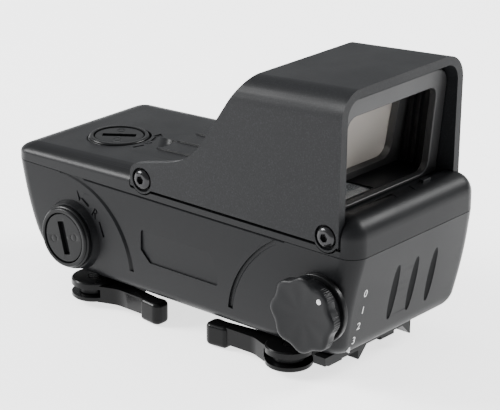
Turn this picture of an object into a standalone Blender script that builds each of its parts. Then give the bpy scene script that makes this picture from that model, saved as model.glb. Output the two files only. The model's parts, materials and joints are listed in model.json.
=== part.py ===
"""Closed reflex sight with a hood, two coin-slot adjusters, a rotary switch and a quick-release rail mount.

+Y is the direction of aim, +X the shooter's right and +Z up. The origin is the centre of the rail seat.
Sizes are in millimetres and are turned to metres by MM where a mesh is made.
"""
import math

import bmesh
import bpy
from mathutils import Matrix, Vector

MM = 0.001
GAP = 0.3

# Housing, seen from above a rounded rectangle, raked at both ends and barrelled at the sides. Its right
# side stands RIGHT_STEP further out than its left
REAR_Y = -58.0
FRONT_Y = 62.7
HALF_WIDTH = 25.0
RIGHT_STEP = 2.9
BARREL = 1.2
BOTTOM_Z = 2.4
PARTING_Z = 30.3
REAR_RAKE = 5.7
FRONT_RAKE = 0.37
NOSE_LENGTH = 6.2
NOSE_HEIGHT = 10.0
BOTTOM_ROUND = 3.0
CORNER_ROUND = 5.0
WALL = 3.0

# Deck of the top cover: it slopes down towards the front
DECK_REAR_Z = 40.8
DECK_SLOPE = 0.05
DECK_ROUND = 6.0
COVER_SKIN = 2.2

# Hood
HOOD_HALF = 25.3
HOOD_WALL = 2.4
HOOD_ROUND = 7.0
HOOD_TOP_Z = 73.0
HOOD_SLOPE = 0.0741
HOOD_REAR_Y = -53.1
HOOD_FRONT_Y = 17.6
HOOD_BOTTOM_Z = 32.9
HOOD_SCREWS = {"front": (13.4, 35.3), "rear": (-48.8, 34.9)}
SCREW_HEAD_R = 2.85
SCREW_R = 1.5

# Turrets
ELEVATION_AT = (-4.4, 41.5, 34.4)
WINDAGE_AT = (-27.9, 38.7, 13.6)
TURRET_R = 8.0

# Power knob
KNOB_Y = -48.3
KNOB_Z = 16.4
KNOB_R = 9.75
KNOB_LOBES = 8
KNOB_FACE_X = -34.0

# Battery, one AA cell that lies along the housing
CELL_X = 12.5
CELL_Z = 14.2
CELL_R = 7.1

# Optics
LENS_TILT = math.radians(9.5)
BEZEL_TILT = math.radians(5.7)
LENS_FOOT = (0.0, -33.0, 40.6)

# Rail mount for a 21.2 mm rail, with clamp bars that lie in the rail's cross slots
RAIL_HALF = 10.6
RAIL_DEPTH = 2.8
SLOT_PITCH = 10.01
BAR_Y = 3.5 * SLOT_PITCH
PIVOT_X = -22.0
FORK_R = 6.3
FORK_TOP_Z = 1.1
FORK_BOTTOM_Z = -4.9
JAW_BOTTOM_Z = -6.2


# --- collections and materials ---

def clear_scene():
    for thing in list(bpy.data.objects):
        bpy.data.objects.remove(thing, do_unlink=True)


def collection(name):
    made = bpy.data.collections.new(name)
    bpy.context.scene.collection.children.link(made)
    return made


def material(name, color, roughness, metallic=0.0, alpha=1.0):
    made = bpy.data.materials.new(name)
    made.use_nodes = True
    shader = made.node_tree.nodes["Principled BSDF"]
    shader.inputs["Base Color"].default_value = (*color, 1.0)
    shader.inputs["Roughness"].default_value = roughness
    shader.inputs["Metallic"].default_value = metallic
    shader.inputs["Alpha"].default_value = alpha
    return made


clear_scene()
PARTS = collection("red_dot_finder")
CUTTERS = collection("cutters")


# --- outlines ---

def arc(centre, radius, start, end, steps):
    """Points on an arc, angles in degrees."""
    points = []
    for step in range(steps + 1):
        angle = math.radians(start + (end - start) * step / steps)
        points.append((centre[0] + radius * math.cos(angle), centre[1] + radius * math.sin(angle)))
    return points


def circle(centre, radius, steps):
    return arc(centre, radius, 0.0, 360.0, steps)[:-1]


def rounded(corners, steps=4):
    """An outline whose corners (a, b, radius) are rounded where the radius isn't 0."""
    points = []
    count = len(corners)
    for index, (a, b, radius) in enumerate(corners):
        here = Vector((a, b))
        if radius == 0:
            points.append((a, b))
            continue
        before = (Vector(corners[index - 1][:2]) - here).normalized()
        after = (Vector(corners[(index + 1) % count][:2]) - here).normalized()
        half = before.angle(after) / 2
        reach = radius / math.tan(half)
        centre = here + (before + after).normalized() * (radius / math.sin(half))
        start = here + before * reach - centre
        end = here + after * reach - centre
        for step in range(steps + 1):
            blend = step / steps
            turn = start.angle_signed(end) * blend
            spoke = Matrix.Rotation(-turn, 2) @ start
            points.append((centre.x + spoke.x, centre.y + spoke.y))
    return points


def rounded_box(low, high, radius, steps=4):
    return rounded([(low[0], low[1], radius), (high[0], low[1], radius),
                    (high[0], high[1], radius), (low[0], high[1], radius)], steps)


# --- solids ---

def finish(name, mesh, look=None, origin=(0, 0, 0)):
    """An object for a mesh in world millimetres; its origin is put at the given point."""
    mesh.transform(Matrix.Scale(MM, 4) @ Matrix.Translation(-Vector(origin)))
    thing = bpy.data.objects.new(name, mesh)
    thing.location = Vector(origin) * MM
    if look is None:
        CUTTERS.objects.link(thing)
        thing.hide_render = True
        thing.display_type = "WIRE"
    else:
        PARTS.objects.link(thing)
        mesh.materials.append(look)
        mesh.shade_smooth()
        mesh.set_sharp_from_angle(angle=math.radians(35))
    return thing


def as_mesh(name, bm):
    bm.normal_update()
    bmesh.ops.recalc_face_normals(bm, faces=bm.faces)
    mesh = bpy.data.meshes.new(name)
    bm.to_mesh(mesh)
    bm.free()
    return mesh


def place(plane, a, b, height):
    """A point of an outline drawn in the plane XY, XZ or YZ, at a height along the third axis."""
    if plane == "XY":
        return Vector((a, b, height))
    if plane == "XZ":
        return Vector((a, height, b))
    return Vector((height, a, b))


def prism(name, outline, plane, low, high, look=None, origin=(0, 0, 0), warp=None):
    """A flat outline extruded from low to high; warp may move each point afterwards."""
    bm = bmesh.new()
    ring = [bm.verts.new(place(plane, a, b, low)) for a, b in outline]
    face = bm.faces.new(ring)
    made = bmesh.ops.extrude_face_region(bm, geom=[face])
    moved = [item for item in made["geom"] if isinstance(item, bmesh.types.BMVert)]
    bmesh.ops.translate(bm, verts=moved, vec=place(plane, 0, 0, high - low))
    if warp:
        for vert in bm.verts:
            vert.co = warp(vert.co)
    return finish(name, as_mesh(name, bm), look, origin)


def box(name, low, high, look=None, origin=(0, 0, 0)):
    bm = bmesh.new()
    bmesh.ops.create_cube(bm, size=1.0)
    low, high = Vector(low), Vector(high)
    bmesh.ops.scale(bm, vec=high - low, verts=bm.verts)
    bmesh.ops.translate(bm, vec=(low + high) / 2, verts=bm.verts)
    return finish(name, as_mesh(name, bm), look, origin)


def rod(name, radius, start, end, look=None, segments=24, end_radius=None):
    """A cylinder or cone between two points; its origin is at its start."""
    start, end = Vector(start), Vector(end)
    bm = bmesh.new()
    length = (end - start).length
    bmesh.ops.create_cone(bm, cap_ends=True, segments=segments, radius1=radius,
                          radius2=radius if end_radius is None else end_radius, depth=length)
    turn = (end - start).to_track_quat("Z", "Y").to_matrix().to_4x4()
    bm.transform(Matrix.Translation((start + end) / 2) @ turn)
    return finish(name, as_mesh(name, bm), look, start)


def ring_torus(name, major, minor, centre, direction, look, steps=20, sides=6):
    """An o-ring: a circle beside the axis, turned by a Screw modifier."""
    profile = [(major + r, u) for r, u in circle((0, 0), minor, sides)]
    return turned(name, list(reversed(profile)), centre, direction, look, steps, closed=True)


def turned(name, profile, centre, direction, look=None, steps=28, closed=False):
    """A profile of (radius, height), outer side run top to bottom, turned about the direction."""
    mesh = bpy.data.meshes.new(name)
    verts = [(r * MM, 0, u * MM) for r, u in profile]
    edges = [(i, i + 1) for i in range(len(verts) - 1)]
    if closed:
        edges.append((len(verts) - 1, 0))
    mesh.from_pydata(verts, edges, [])
    thing = bpy.data.objects.new(name, mesh)
    thing.location = Vector(centre) * MM
    thing.rotation_mode = "QUATERNION"
    thing.rotation_quaternion = Vector(direction).to_track_quat("Z", "Y")
    screw = thing.modifiers.new("turn", "SCREW")
    screw.axis = "Z"
    screw.steps = steps
    screw.render_steps = steps
    screw.use_merge_vertices = True
    screw.merge_threshold = 0.00001
    screw.use_smooth_shade = True
    if look is None:
        CUTTERS.objects.link(thing)
        thing.hide_render = True
        thing.display_type = "WIRE"
    else:
        PARTS.objects.link(thing)
        mesh.materials.append(look)
    return thing


def loft(name, rings, look=None, origin=(0, 0, 0)):
    """A closed skin over rings of equal counts of points, with a flat cap at each end."""
    bm = bmesh.new()
    rows = [[bm.verts.new(point) for point in ring] for ring in rings]
    count = len(rows[0])
    for low, high in zip(rows, rows[1:]):
        for i in range(count):
            bm.faces.new((low[i], low[(i + 1) % count], high[(i + 1) % count], high[i]))
    bm.faces.new(list(reversed(rows[0])))
    bm.faces.new(rows[-1])
    return finish(name, as_mesh(name, bm), look, origin)


def combine(thing, other, operation):
    step = thing.modifiers.new(other.name, "BOOLEAN")
    step.object = other
    step.operation = operation
    step.solver = "EXACT"


def cut(thing, *others):
    for other in others:
        combine(thing, other, "DIFFERENCE")


def join(thing, *others):
    for other in others:
        combine(thing, other, "UNION")


# --- housing shape ---

def plan_ring(half, rear, front, radius, heights):
    """A rounded rectangle seen from above; heights gives z for a point at y."""
    outline = rounded_box((-half, rear), (half + RIGHT_STEP, front), radius, steps=5)
    return [Vector((x, y, heights(y))) for x, y in outline]


def housing_ring(z, inset):
    """The lower housing's section at a height, moved inwards by inset."""
    rise = min(max((z - BOTTOM_Z) / (PARTING_Z - BOTTOM_Z), 0.0), 1.0)
    half = HALF_WIDTH + BARREL * math.sin(math.pi * rise)
    near_floor = max(BOTTOM_ROUND - (z - BOTTOM_Z), 0.0)
    roll = BOTTOM_ROUND - math.sqrt(BOTTOM_ROUND ** 2 - min(near_floor, BOTTOM_ROUND) ** 2)
    rear = REAR_Y + REAR_RAKE * (1.0 - rise)
    front = FRONT_Y - FRONT_RAKE * (PARTING_Z - z)
    under = min(max(NOSE_HEIGHT - (z - BOTTOM_Z), 0.0) / NOSE_HEIGHT, 0.995)
    nose = NOSE_LENGTH * (1.0 - math.sqrt(1.0 - under ** 2))
    if z > PARTING_Z:
        front = FRONT_Y
    return plan_ring(half - roll - inset, rear + 0.4 * roll + inset, front - nose - inset,
                     max(CORNER_ROUND - inset, 1.0), lambda y: z)


def deck_z(y):
    return DECK_REAR_Z - DECK_SLOPE * (y - REAR_Y)


def cover_ring(level, inset, radius):
    """A ring of the cover; level runs from 0 at its foot to 1 at the deck, whose slope it takes up."""
    foot = PARTING_Z + GAP / 2
    return plan_ring(HALF_WIDTH - inset, REAR_Y + inset, FRONT_Y - inset, radius,
                     lambda y: foot + (deck_z(y) - foot) * level)


def make_lower_housing(look):
    top = PARTING_Z - GAP / 2
    levels = [2.4, 3.0, 5.4, 8.5, 12.4, 16.4, 23.0, top]
    shell = loft("lower_housing", [housing_ring(z, 0.0) for z in levels], look)
    hollow = [5.2, 8.5, 16.4, top, top + 2.0]
    cavity = loft("housing_cavity", [housing_ring(z, WALL) for z in hollow])
    seal_out = plan_ring(HALF_WIDTH - 0.8, REAR_Y + 0.8, FRONT_Y - 0.8, 4.2, lambda y: 0)
    seal_in = plan_ring(HALF_WIDTH - 2.2, REAR_Y + 2.2, FRONT_Y - 2.2, 2.8, lambda y: 0)
    groove = prism("gasket_groove", [(p.x, p.y) for p in seal_out], "XY", top - 0.85, top + 1)
    core = prism("gasket_core", [(p.x, p.y) for p in seal_in], "XY", top - 2, top + 2)
    cut(groove, core)
    x, y, z = WINDAGE_AT
    boss = rod("windage_boss", 10.6, (x + 5.3, y, z), (x, y, z), segments=28, end_radius=9.3)
    boss_hole = rod("windage_hole", TURRET_R + GAP, (x - 2, y, z), (x + 8, y, z), segments=28)
    bay = rod("cell_boss", 11.0, (CELL_X, 44, CELL_Z), (CELL_X, 55.5, CELL_Z), segments=28)
    cap_bore = rod("cap_bore", 9.5, (CELL_X, 50.5, CELL_Z), (CELL_X, 75, CELL_Z), segments=28)
    sleeve_bore = rod("sleeve_bore", 8.8, (CELL_X, 38, CELL_Z), (CELL_X, 52, CELL_Z), segments=28)
    shaft = rod("knob_hole", 3.4, (-32, KNOB_Y, KNOB_Z), (-20, KNOB_Y, KNOB_Z), segments=24)
    cut(shell, cavity)
    join(shell, boss, bay)
    for x in (-4.0, 4.0):
        for y in (-23.0, 23.0):
            post = rod(f"screw_post_{x:.0f}_{y:.0f}", 2.8, (x, y, 3.5), (x, y, 6.0), segments=16)
            hole = rod(f"screw_hole_{x:.0f}_{y:.0f}", 1.8, (x, y, 1.0), (x, y, 5.6), segments=16)
            join(shell, post)
            cut(shell, hole)
    cut(shell, groove, boss_hole, cap_bore, sleeve_bore, shaft)
    return shell


def make_gasket(look):
    top = PARTING_Z - GAP / 2
    outer = plan_ring(HALF_WIDTH - 1.1, REAR_Y + 1.1, FRONT_Y - 1.1, 3.9, lambda y: 0)
    inner = plan_ring(HALF_WIDTH - 1.9, REAR_Y + 1.9, FRONT_Y - 1.9, 3.1, lambda y: 0)
    ring = prism("cover_gasket", [(p.x, p.y) for p in outer], "XY", top - 0.55, top, look)
    cut(ring, prism("gasket_inside", [(p.x, p.y) for p in inner], "XY", top - 2, top + 2))


def make_top_cover(look):
    foot = PARTING_Z + GAP / 2
    height = DECK_REAR_Z - foot
    rings = [cover_ring(0.0, 0.0, CORNER_ROUND), cover_ring(1 - DECK_ROUND / height, 0.0, CORNER_ROUND)]
    for step in range(1, 6):
        angle = math.radians(18 * step)
        inset = DECK_ROUND * (1 - math.cos(angle))
        rings.append(cover_ring(1 - DECK_ROUND * (1 - math.sin(angle)) / height, inset,
                                max(CORNER_ROUND - inset, 0.6)))
    shell = loft("top_cover", rings, look)

    def inner(inset, drop):
        outline = rounded_box((-20.4 + inset, -54.5 + inset), (20.4 - inset, 55.5 - inset), 2.5)
        return [Vector((x, y, deck_z(y) - drop if drop else foot - 2)) for x, y in outline]

    cut(shell, loft("cover_cavity", [inner(0, 0), inner(0, COVER_SKIN + 1.5), inner(1.2, COVER_SKIN)]))
    x, y, z = ELEVATION_AT
    join(shell, rod("turret_boss", 11.0, (x, y, foot + 1.0), (x, y, z - 0.2), segments=28))
    for side in (-1, 1):
        for name, (sy, sz) in HOOD_SCREWS.items():
            join(shell, box(f"{name}_block_{side}", (min(16 * side, 21.5 * side), sy - 3.3, sz - 3.2),
                            (max(16 * side, 21.5 * side), sy + 3.3, min(sz + 3.3, deck_z(sy) - 1.0))))
        low, high = (-32.0, -22.6) if side < 0 else (22.6, 25.6)
        seat = prism(f"hood_seat_{side}", rounded([(-53.4, 32.0, 0), (HOOD_FRONT_Y + 0.6, 32.0, 0),
                                                   (HOOD_FRONT_Y + 0.6, 60.0, 0), (-53.4, 60.0, 0)]),
                     "YZ", low, high)
        cut(shell, seat)
        for name, (sy, sz) in HOOD_SCREWS.items():
            cut(shell, rod(f"{name}_lobe_{side}", 4.3, (22.6 * side, sy, sz), (32 * side, sy, sz)))
            cut(shell, rod(f"{name}_tap_{side}", 1.8, (12 * side, sy, sz), (32 * side, sy, sz),
                           segments=16))
    join(shell, box("window_boss", (-15, -46.5, 36.5), (3, -33.5, 39.2)))
    cut(shell, box("window_seat", (-12.3, -44.3, 37.7), (0.3, -35.7, 50)))
    cut(shell, box("window_light", (-11, -43, 30), (-1, -37, 50)))
    cut(shell, box("bezel_slot", (-22.9, -50.6, 39.2), (22.9, -45.0, 50)))
    cut(shell, rod("turret_seat", 9.1, (x, y, z), (x, y, z + 10), segments=28))
    cut(shell, rod("turret_hole", TURRET_R + GAP, (x, y, z - 12), (x, y, z + 10), segments=28))


# --- hood ---

def make_hood(look):
    def slope(point):
        return Vector((point.x, point.y, point.z - HOOD_SLOPE * (point.y - REAR_Y)))

    inner = HOOD_HALF - HOOD_WALL
    bend = rounded([(-HOOD_HALF, 20, 0), (-HOOD_HALF, HOOD_TOP_Z, HOOD_ROUND),
                    (HOOD_HALF, HOOD_TOP_Z, HOOD_ROUND), (HOOD_HALF, 20, 0), (inner, 20, 0),
                    (inner, HOOD_TOP_Z - HOOD_WALL, HOOD_ROUND - HOOD_WALL),
                    (-inner, HOOD_TOP_Z - HOOD_WALL, HOOD_ROUND - HOOD_WALL), (-inner, 20, 0)], 6)
    hood = prism("hood", bend, "XZ", HOOD_REAR_Y - 2, HOOD_FRONT_Y + 2, look, warp=slope)
    side = rounded([(HOOD_REAR_Y + 0.2, HOOD_BOTTOM_Z, 0), (HOOD_FRONT_Y, HOOD_BOTTOM_Z, 0),
                    (HOOD_FRONT_Y, 38.9, 3.2), (-3.8, 44.2, 20.0), (-21.9, 71.2, 3.0),
                    (-23.0, 80.0, 0), (HOOD_REAR_Y - 0.3, 80.0, 0)], 6)
    combine(hood, prism("hood_side", side, "YZ", -40, 40), "INTERSECT")
    for flank in (-1, 1):
        for name, (y, z) in HOOD_SCREWS.items():
            lobe = rod(f"{name}_ear_{flank}", 3.9, (inner * flank, y, z), (HOOD_HALF * flank, y, z))
            head = rod(f"{name}_head_{flank}", SCREW_HEAD_R + GAP,
                       ((HOOD_HALF - 1.2) * flank, y, z), ((HOOD_HALF + 3) * flank, y, z))
            hole = rod(f"{name}_hole_{flank}", SCREW_R + GAP, (18 * flank, y, z), (32 * flank, y, z),
                       segments=16)
            join(hood, lobe)
            cut(hood, head, hole)


def make_hood_screws(look):
    """Button heads with a hex socket, whose shanks end in the cover."""
    seat = HOOD_HALF - 1.2 + GAP
    shank = seat - 17.4
    for flank, side in ((-1, "left"), (1, "right")):
        for name, (y, z) in HOOD_SCREWS.items():
            dome = [(0, 1.5), (1.3, 1.5), (2.1, 1.2), (2.6, 0.75), (SCREW_HEAD_R, 0.2), (SCREW_HEAD_R, 0),
                    (SCREW_R, 0), (SCREW_R, -shank), (0, -shank)]
            screw = turned(f"hood_screw_{name}_{side}", dome, (seat * flank, y, z), (flank, 0, 0), look, 16)
            hexagon = rod(f"hex_{name}_{side}", 1.15, ((seat + 0.5) * flank, y, z),
                          ((seat + 3) * flank, y, z), segments=6)
            cut(screw, hexagon)


# --- optics ---

def leaning(foot, tilt):
    """Local x, forward, up of a plate that leans back, as a function from its own point to the world."""
    turn = Matrix.Rotation(tilt, 4, "X")
    shift = Matrix.Translation(Vector(foot))

    def move(point):
        return shift @ turn @ point
    return move


def make_bezel(look):
    lean = leaning((0, -46.6, 39.5), BEZEL_TILT)
    plate = rounded([(-22.5, 0, 0), (22.5, 0, 0), (22.5, 29.7, 5.0), (-22.5, 29.7, 5.0)])
    bezel = prism("rear_bezel", plate, "XZ", -1.1, 1.1, look, warp=lean)
    cut(bezel, prism("bezel_window", rounded_box((-18.4, 0.9), (18.4, 24.9), 3.0), "XZ", -5, 5, warp=lean))


def make_tunnel(look):
    lean = leaning((0, -44.9, 40.7), math.radians(6.2))
    outer = rounded([(-22.2, 0, 0), (-22.2, 27.6, 4.2), (22.2, 27.6, 4.2), (22.2, 0, 0), (19.6, 0, 0),
                     (19.6, 25.6, 3.0), (-19.6, 25.6, 3.0), (-19.6, 0, 0)])
    liner = prism("tunnel_liner", outer, "XZ", 0.0, 6.6, look, warp=lean)
    for y in (1.6, 3.8):
        inside = rounded([(-20.5, -1, 0), (-20.5, 26.4, 3.0), (20.5, 26.4, 3.0), (20.5, -1, 0)])
        cut(liner, prism(f"tunnel_groove_{y}", inside, "XZ", y, y + 1.1, warp=lean))


def make_lens(frame_look, glass_look):
    lean = leaning(LENS_FOOT, LENS_TILT)
    plate = rounded([(-22.4, 0, 0), (22.4, 0, 0), (22.4, 27.2, 4.8), (-22.4, 27.2, 4.8)])
    frame = prism("lens_frame", plate, "XZ", -3.0, 3.0, frame_look, warp=lean)
    light = rounded_box((-17.2, 2.0), (17.2, 24.6), 3.0)
    seat = rounded_box((-18.8, 0.8), (18.8, 25.8), 3.8)
    glass = rounded_box((-18.5, 1.1), (18.5, 25.5), 3.5)
    cut(frame, prism("lens_light", light, "XZ", -6, 6, warp=lean))
    cut(frame, prism("lens_seat", seat, "XZ", -0.9, 6, warp=lean))
    prism("front_lens", glass, "XZ", -0.6, 1.8, glass_look, warp=lean)


# --- turrets ---

def make_turret(name, seat, outward, shaft_end, slot_turn, looks):
    """A fixed cup with a flange, and in it a turning disc with a coin slot on a threaded shaft."""
    body_look, disc_look, rubber = looks
    cup = [(7.2, 2.1), (8.2, 2.1), (8.4, 1.4), (8.8, 1.2), (8.8, GAP), (TURRET_R, GAP),
           (TURRET_R, -2.6), (1.8, -2.6), (1.8, -1.4), (7.2, -1.4)]
    turned(f"{name}_ring", cup, seat, outward, body_look, 32, closed=True)
    disc = [(0, 1.9), (6.6, 1.9), (6.9, 1.6), (6.9, 0.0), (SCREW_R, 0.0), (SCREW_R, -shaft_end),
            (0, -shaft_end)]
    adjuster = turned(f"{name}_adjuster", disc, seat, outward, disc_look, 28)
    ring_torus(f"{name}_o_ring", 3.0, 0.4, Vector(seat) - 0.7 * Vector(outward), outward, rubber)
    long, wide, deep = 4.75, 1.15, 1.2
    bm = bmesh.new()
    bmesh.ops.create_cube(bm, size=1.0)
    bmesh.ops.scale(bm, vec=(2 * long, 2 * wide, 2 * deep), verts=bm.verts)
    slot = finish(f"{name}_slot", as_mesh(f"{name}_slot", bm))
    top = Vector(seat) + 1.9 * Vector(outward)
    slot.location = top * MM
    slot.rotation_mode = "QUATERNION"
    spin = Matrix.Rotation(slot_turn, 3, Vector(outward))
    slot.rotation_quaternion = spin.to_quaternion() @ Vector(outward).to_track_quat("Z", "Y")
    cut(adjuster, slot)


def make_stages(look, emitter_look):
    x, y, z = ELEVATION_AT
    stage = box("elevation_stage", (x - 9.6, y - 6.5, 20.0), (x + 4.6, y + 4.5, 25.0), look)
    cut(stage, rod("elevation_thread", 1.8, (x, y, 15), (x, y, 30), segments=20))
    _, y, z = WINDAGE_AT
    block = box("windage_stage", (-12.5, 33.5, 9.3), (-0.5, 44.0, 18.6), look)
    cut(block, rod("windage_thread", 2.7, (-20, y, z), (5, y, z), segments=20))
    rod("led_emitter", 2.4, (-6.5, 33.2, z), (-6.5, 30.2, z), emitter_look, segments=20, end_radius=1.9)


# --- power knob ---

def knob_ring(x, shrink, lobed=True):
    points = []
    for step in range(48):
        angle = 2 * math.pi * step / 48
        wave = 0.45 * math.cos(KNOB_LOBES * angle) if lobed else 0.0
        radius = KNOB_R + wave - shrink
        points.append(Vector((x, KNOB_Y + radius * math.cos(angle), KNOB_Z + radius * math.sin(angle))))
    return points


def make_knob(look, metal, rubber, white, plastic):
    axis = (KNOB_FACE_X, KNOB_Y, KNOB_Z)
    rings = [knob_ring(-28.3, 1.7, False), knob_ring(-30.6, 1.6, False), knob_ring(-30.9, 0.5),
             knob_ring(-31.3, 0.0), knob_ring(-33.3, 0.0), knob_ring(KNOB_FACE_X, 0.7)]
    knob = loft("power_knob", rings, look, origin=axis)
    cut(knob, rod("shaft_pocket", 3.3, (-20, KNOB_Y, KNOB_Z), (-32.6, KNOB_Y, KNOB_Z), segments=24))
    dot_y, dot_z = KNOB_Y - 5.6, KNOB_Z + 5.3
    cut(knob, rod("dot_pocket", 0.95, (-33.2, dot_y, dot_z), (-36, dot_y, dot_z), segments=20))
    rod("index_dot", 0.65, (-33.5, dot_y, dot_z), (-34.05, dot_y, dot_z), white, segments=20)
    turned("knob_shaft", [(0, 0), (3.0, 0), (3.0, -8.7), (1.6, -8.7), (1.6, -15.3), (0, -15.3)],
           (-32.3, KNOB_Y, KNOB_Z), (-1, 0, 0), metal, 20)
    turned("knob_collar", [(4.8, 0), (9.0, 0), (9.2, -0.2), (9.2, -1.4), (4.8, -1.4)],
           (-28.0, KNOB_Y, KNOB_Z), (-1, 0, 0), look, 28, closed=True)
    ring_torus("knob_o_ring", 3.9, 0.45, (-27.3, KNOB_Y, KNOB_Z), (-1, 0, 0), rubber)
    switch = box("rotary_switch", (-21.8, -49.8, 11.0), (-14.0, -40.0, 22.0), plastic)
    cut(switch, rod("switch_hole", 1.9, (-30, KNOB_Y, KNOB_Z), (-16.5, KNOB_Y, KNOB_Z), segments=20))


# --- battery ---

def make_battery(metal, cap_look, rubber, cell_look):
    along = (0, 1, 0)
    turned("battery", [(0, 50.1), (2.6, 50.1), (2.6, 48.8), (CELL_R - 0.3, 48.8), (CELL_R, 48.5),
                       (CELL_R, -1.6), (CELL_R - 0.3, -1.9), (0, -1.9)],
           (CELL_X, 0, CELL_Z), along, cell_look, 24)
    turned("battery_sleeve", [(7.6, 50.2), (8.5, 50.2), (8.5, -8.0), (7.6, -8.0)],
           (CELL_X, 0, CELL_Z), along, metal, 28, closed=True)
    rod("contact_plate", 7.2, (CELL_X, -7.7, CELL_Z), (CELL_X, -7.1, CELL_Z), metal, segments=24)
    cap = turned("battery_cap", [(0, 5.2), (8.8, 5.2), (9.2, 4.8), (9.2, 1.5), (7.9, 1.5), (7.9, 0), (0, 0)],
                 (CELL_X, 50.8, CELL_Z), along, cap_look, 28)
    cut(cap, box("cap_slot", (CELL_X - 5.2, 54.5, CELL_Z - 0.8), (CELL_X + 5.2, 60, CELL_Z + 0.8)))
    ring_torus("battery_cap_o_ring", 8.7, 0.45, (CELL_X, 51.55, CELL_Z), along, rubber, 28)
    make_contact_spring(metal)


def make_contact_spring(look):
    """A conical coil that widens from the cell down to the contact plate."""
    turns, wire = 3.5, 0.3
    curve = bpy.data.curves.new("contact_spring", "CURVE")
    curve.dimensions = "3D"
    curve.bevel_depth = wire * MM
    curve.bevel_resolution = 0
    curve.use_fill_caps = True
    steps = int(turns * 12)
    spline = curve.splines.new("POLY")
    spline.points.add(steps)
    for step in range(steps + 1):
        part = step / steps
        angle = 2 * math.pi * turns * part
        radius = 5.8 - 2.8 * part
        point = (CELL_X + radius * math.cos(angle), -6.4 + 3.8 * part, CELL_Z + radius * math.sin(angle))
        spline.points[step].co = (point[0] * MM, point[1] * MM, point[2] * MM, 1.0)
    curve.materials.append(look)
    PARTS.objects.link(bpy.data.objects.new("contact_spring", curve))


# --- rail mount ---

def make_mount_base(look):
    apex = RAIL_HALF + GAP

    def section(outer):
        return [(-outer, 2.1), (-outer, -RAIL_DEPTH), (-apex, -RAIL_DEPTH), (-apex + 3.2, 0.4),
                (apex - 3.2, 0.4), (apex, -RAIL_DEPTH), (outer, -RAIL_DEPTH), (outer, 2.1)]

    base = prism("mount_base", section(13.9), "XZ", -44.0, 42.0, look)
    join(base, prism("base_tail", section(11.3), "XZ", -49.3, -43.0))
    join(base, box("rail_pad", (-7.4, -15.0, 0.0), (7.4, 15.0, 1.2)))
    join(base, box("lever_stop", (-25.0, -49.3, -0.2), (-11.0, -45.4, 2.1)))
    lip = [(-13.9, -1.0), (-13.9, JAW_BOTTOM_Z), (-8.2, JAW_BOTTOM_Z), (-8.2, -5.5), (-apex, -2.8),
           (-apex - 0.2, -1.0)]
    for name, y in (("front", BAR_Y), ("rear", -BAR_Y)):
        join(base, prism(f"{name}_lip", lip, "XZ", y - 6.7, y + 6.7))
        cut(base, box(f"{name}_bar_slot", (-20, y - 2.75, -3.1), (0, y + 2.75, -0.7)))
        cut(base, box(f"{name}_jaw_gap", (7.0, y - 7.0, -4.0), (20, y + 7.0, 0.4)))
    for x in (-4.0, 4.0):
        for y in (-23.0, 23.0):
            sink = turned(f"sink_{x:.0f}_{y:.0f}", [(0, 4), (1.8, 4), (1.8, 1.4), (3.0, 0.2), (3.0, -1.0),
                                                    (0, -1.0)], (x, y, 0), (0, 0, 1), None, 20)
            cut(base, sink)


def make_mount_screws(look):
    names = {(-4.0, 23.0): "front_left", (4.0, 23.0): "front_right",
             (-4.0, -23.0): "rear_left", (4.0, -23.0): "rear_right"}
    for (x, y), name in names.items():
        turned(f"mount_screw_{name}", [(0, 5.3), (1.5, 5.3), (1.5, 1.3), (2.3, 0.5), (0, 0.5)],
               (x, y, 0), (0, 0, 1), look, 16)


def make_clamp_bar(name, y, look):
    """A cross bar with a jaw on the right side and a round end for the lever's fork on the left."""
    apex = RAIL_HALF + GAP
    jaw = [(14.5, -0.1), (14.5, JAW_BOTTOM_Z), (8.2, JAW_BOTTOM_Z), (8.2, -5.5), (apex, -2.8), (8.2, -0.1)]
    bar = prism(f"{name}_clamp_bar", jaw, "XZ", y - 6.7, y + 6.7, look)
    join(bar, box(f"{name}_bar", (PIVOT_X, y - 2.45, -2.8), (12.5, y + 2.45, -1.0)))
    join(bar, rod(f"{name}_hub", 4.2, (PIVOT_X, y, -2.8), (PIVOT_X, y, -1.0)))
    cut(bar, rod(f"{name}_hub_hole", 1.9, (PIVOT_X, y, -5), (PIVOT_X, y, 1), segments=20))


def make_lever(name, y, toward, look, metal):
    """A fork of two round plates, an arm along the mount and a deeper thumb tab at its end."""
    pivot = (PIVOT_X, y, 0)

    def plan(corners):
        return rounded([(PIVOT_X + a, y + toward * b, r) for a, b, r in corners], 4)

    lever = rod(f"{name}_lever", FORK_R, (PIVOT_X, y, FORK_BOTTOM_Z), (PIVOT_X, y, FORK_TOP_Z), look, 28)
    arm = plan([(-4.6, 2.0, 0), (4.4, 2.0, 0), (3.2, 12.0, 5.0), (1.6, 23.0, 0.6), (-2.0, 23.0, 0.6),
                (-1.8, 11.0, 5.0)])
    tab = plan([(1.8, 19.4, 1.0), (2.4, 26.8, 1.6), (-3.4, 26.8, 1.6), (-2.6, 19.4, 1.0)])
    join(lever, prism(f"{name}_arm", arm, "XY", FORK_BOTTOM_Z, FORK_TOP_Z - 0.8))
    join(lever, prism(f"{name}_tab", tab, "XY", -5.8, 0.5))
    cut(lever, rod(f"{name}_gap", FORK_R + GAP, (PIVOT_X, y, -3.1), (PIVOT_X, y, -0.7), segments=28))
    cut(lever, rod(f"{name}_pin_hole", 1.9, (PIVOT_X, y, -8), (PIVOT_X, y, 4), segments=20))
    rod(f"{name}_lever_pin", 1.6, (pivot[0], y, FORK_BOTTOM_Z), (pivot[0], y, FORK_TOP_Z), metal, 20)


# --- the whole sight ---

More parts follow.
